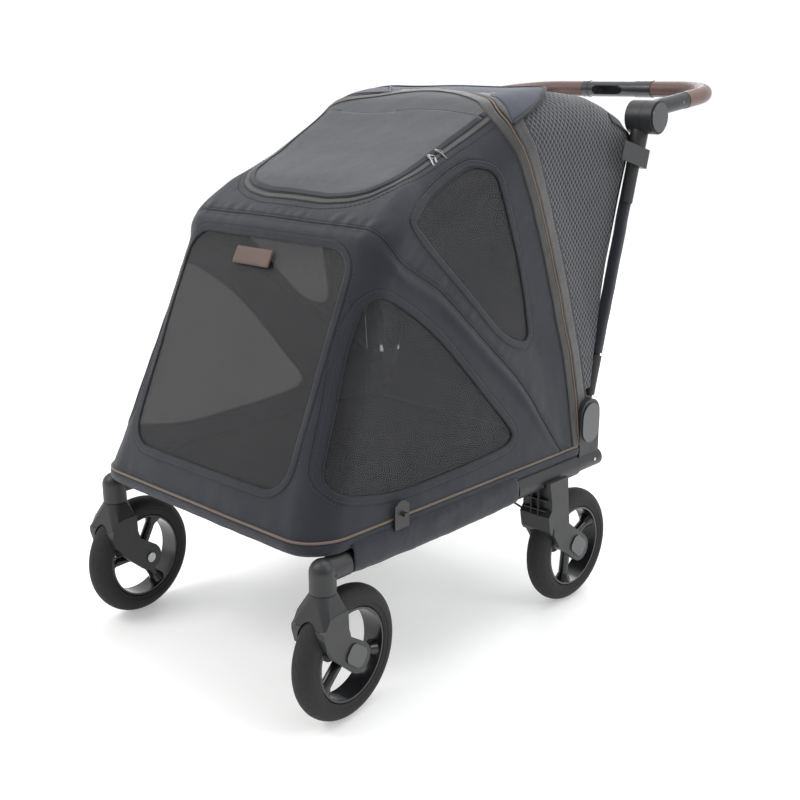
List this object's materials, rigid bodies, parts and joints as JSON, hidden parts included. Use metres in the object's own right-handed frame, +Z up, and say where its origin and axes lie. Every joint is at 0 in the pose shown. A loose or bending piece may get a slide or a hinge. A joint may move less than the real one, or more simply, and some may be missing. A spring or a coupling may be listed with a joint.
{
  "type": "pet stroller",
  "caption": "Folding four-wheeled pet stroller: fabric cabin with mesh windows on two folding bows, swivel casters in front and a U-shaped push handle on tilting knuckles.",
  "frame": {"origin": "centre of the overall bounding box, on the ground the wheels stand on", "axes": "+Z up, -Y towards the front (the swivel casters), +Y towards the push handle, +X towards the right-hand side as seen from the front"},
  "size_m": [0.6324, 1.2485, 0.9631],
  "materials": {
    "frame_plastic": "fine-grained dark grey moulded nylon",
    "black_plastic": "black moulded plastic",
    "gloss_plastic": "polished dark grey plastic",
    "piano_black": "polished black plastic",
    "tube_paint": "satin black powder coat",
    "bow_steel": "black coated spring strip",
    "bar_paint": "grey anodised tube",
    "steel": "plain steel",
    "brass": "plain bearing brass",
    "rim_plastic": "semi-gloss black wheel plastic",
    "tyre": "dark grey foamed rubber",
    "navy_fabric": "dark navy woven canvas",
    "roof_fabric": "dark navy woven canvas, creased",
    "window_mesh": "fine black insect mesh",
    "roof_window_mesh": "dense grey mesh",
    "rear_mesh": "blue-grey spacer mesh",
    "floor_felt": "dark quilted mat",
    "leather": "rose-brown stitched leather",
    "cable_rubber": "black cable housing",
    "zip_metal": "nickel-plated wire loop"
  },
  "bodies": {
    "chassis": {"side_rails": "tube_paint", "cross_tubes": "tube_paint", "floor_board": "black_plastic", "floor_mat": "floor_felt", "rail_covers": "navy_fabric", "base_skirt": "navy_fabric", "caster_housings": "frame_plastic", "swivel_bushes": "brass", "rear_axles": "steel", "rear_leg_right": "frame_plastic", "rear_leg_left": "frame_plastic", "rail_screws": "steel", "hinge_brackets": "frame_plastic", "hinge_covers": "gloss_plastic", "fold_pins": "steel", "front_panel": "navy_fabric", "front_mesh": "window_mesh", "side_panel_right": "navy_fabric", "side_panel_left": "navy_fabric", "side_meshes": "window_mesh", "roof_panel": "roof_fabric", "rear_cover": "rear_mesh", "leather_patch": "leather", "storage_hooks": "frame_plastic", "brake_cables": "cable_rubber"},
    "handle": {"fold_knuckles": "frame_plastic", "handle_tubes": "tube_paint", "lower_sleeves": "frame_plastic", "upper_tubes": "frame_plastic", "mesh_clips": "frame_plastic", "tube_knuckles": "frame_plastic"},
    "handlebar": {"bar_knuckles": "frame_plastic", "knuckle_faces": "gloss_plastic", "handlebar_tube": "bar_paint", "grips": "leather", "release_housing": "gloss_plastic"},
    "release_button": {"release_button": "piano_black"},
    "caster_right": {"fork_right": "frame_plastic", "swivel_pin_right": "steel", "axle_front_right": "steel"},
    "caster_left": {"fork_left": "frame_plastic", "swivel_pin_left": "steel", "axle_front_left": "steel"},
    "wheel_front_right": {"rim_front_right": "rim_plastic", "tyre_front_right": "tyre"},
    "wheel_front_left": {"rim_front_left": "rim_plastic", "tyre_front_left": "tyre"},
    "wheel_rear_right": {"rim_rear_right": "rim_plastic", "tyre_rear_right": "tyre"},
    "wheel_rear_left": {"rim_rear_left": "rim_plastic", "tyre_rear_left": "tyre"},
    "quick_release_front_right": {"release_front_right": "gloss_plastic"},
    "quick_release_front_left": {"release_front_left": "gloss_plastic"},
    "quick_release_rear_right": {"release_rear_right": "gloss_plastic"},
    "quick_release_rear_left": {"release_rear_left": "gloss_plastic"},
    "front_bow": {"front_bow": "bow_steel"},
    "middle_bow": {"middle_bow": "bow_steel"},
    "roof_window": {"roof_mesh": "roof_window_mesh"},
    "zip_pulls": {"zip_pulls": "zip_metal"},
    "brake_pedal": {"brake_pedal": "black_plastic"}
  },
  "joints": [
    {"name": "caster_swivel_right", "type": "hinge", "parent": "chassis", "child": "caster_right", "pos_m": [0.27957, -0.5605, 0.24], "axis": [0, 0, 1], "continuous": true},
    {"name": "caster_swivel_left", "type": "hinge", "parent": "chassis", "child": "caster_left", "pos_m": [-0.27443, -0.5605, 0.24], "axis": [0, 0, 1], "continuous": true},
    {"name": "wheel_spin_front_right", "type": "hinge", "parent": "caster_right", "child": "wheel_front_right", "pos_m": [0.27476, -0.51475, 0.11], "axis": [0.9945, 0.1045, 0], "continuous": true},
    {"name": "wheel_spin_front_left", "type": "hinge", "parent": "caster_left", "child": "wheel_front_left", "pos_m": [-0.27924, -0.51475, 0.11], "axis": [0.9945, 0.1045, 0], "continuous": true},
    {"name": "wheel_spin_rear_right", "type": "hinge", "parent": "chassis", "child": "wheel_rear_right", "pos_m": [0.27957, 0.0735, 0.11], "axis": [1, 0, 0], "continuous": true},
    {"name": "wheel_spin_rear_left", "type": "hinge", "parent": "chassis", "child": "wheel_rear_left", "pos_m": [-0.27443, 0.0735, 0.11], "axis": [1, 0, 0], "continuous": true},
    {"name": "quick_release_front_right_press", "type": "slide", "parent": "caster_right", "child": "quick_release_front_right", "axis": [-0.9945, -0.1045, 0], "range_m": [0, 0.0013], "stiffness_N_per_m": 400},
    {"name": "quick_release_rear_right_press", "type": "slide", "parent": "chassis", "child": "quick_release_rear_right", "axis": [-1, 0, 0], "range_m": [0, 0.0013], "stiffness_N_per_m": 400},
    {"name": "quick_release_front_left_press", "type": "slide", "parent": "caster_left", "child": "quick_release_front_left", "axis": [0.9945, 0.1045, 0], "range_m": [0, 0.0013], "stiffness_N_per_m": 400},
    {"name": "quick_release_rear_left_press", "type": "slide", "parent": "chassis", "child": "quick_release_rear_left", "axis": [1, 0, 0], "range_m": [0, 0.0013], "stiffness_N_per_m": 400},
    {"name": "handle_fold", "type": "hinge", "parent": "chassis", "child": "handle", "pos_m": [0.00257, 0.1215, 0.344], "axis": [1, 0, 0], "range_deg": [0, 94], "deforming": ["front_panel", "front_mesh", "side_panel_right", "side_panel_left", "side_meshes", "roof_panel", "roof_mesh", "rear_cover", "leather_patch", "zip_pulls"]},
    {"name": "front_bow_fold", "type": "hinge", "parent": "chassis", "child": "front_bow", "pos_m": [0.00257, 0.1215, 0.344], "axis": [1, 0, 0], "range_deg": [0, 34.5]},
    {"name": "middle_bow_fold", "type": "hinge", "parent": "chassis", "child": "middle_bow", "pos_m": [0.00257, 0.1215, 0.344], "axis": [1, 0, 0], "range_deg": [0, 60.5]},
    {"name": "handlebar_tilt", "type": "hinge", "parent": "handle", "child": "handlebar", "pos_m": [0.00257, 0.28748, 0.89901], "axis": [1, 0, 0], "range_deg": [-45, 60]},
    {"name": "release_button_press", "type": "slide", "parent": "handlebar", "child": "release_button", "axis": [0, 0.993, 0.1184], "range_m": [0, 0.0015], "stiffness_N_per_m": 400},
    {"name": "roof_window_open", "type": "hinge", "parent": "chassis", "child": "roof_window", "pos_m": [0.00257, -0.1045, 0.909], "axis": [-1, 0, 0], "range_deg": [0, 100]},
    {"name": "zip_pulls_swing", "type": "hinge", "parent": "chassis", "child": "zip_pulls", "pos_m": [0.18657, -0.2065, 0.872], "axis": [0, -1, 0], "range_deg": [0, 110]},
    {"name": "brake_pedal_press", "type": "hinge", "parent": "chassis", "child": "brake_pedal", "pos_m": [0.00257, 0.0055, 0.267], "axis": [1, 0, 0], "range_deg": [-12, 0]}
  ],
  "couplings": [
    {"joint": "front_bow_fold", "follows": "handle_fold", "ratio": 0.3617},
    {"joint": "middle_bow_fold", "follows": "handle_fold", "ratio": 0.6383}
  ]
}
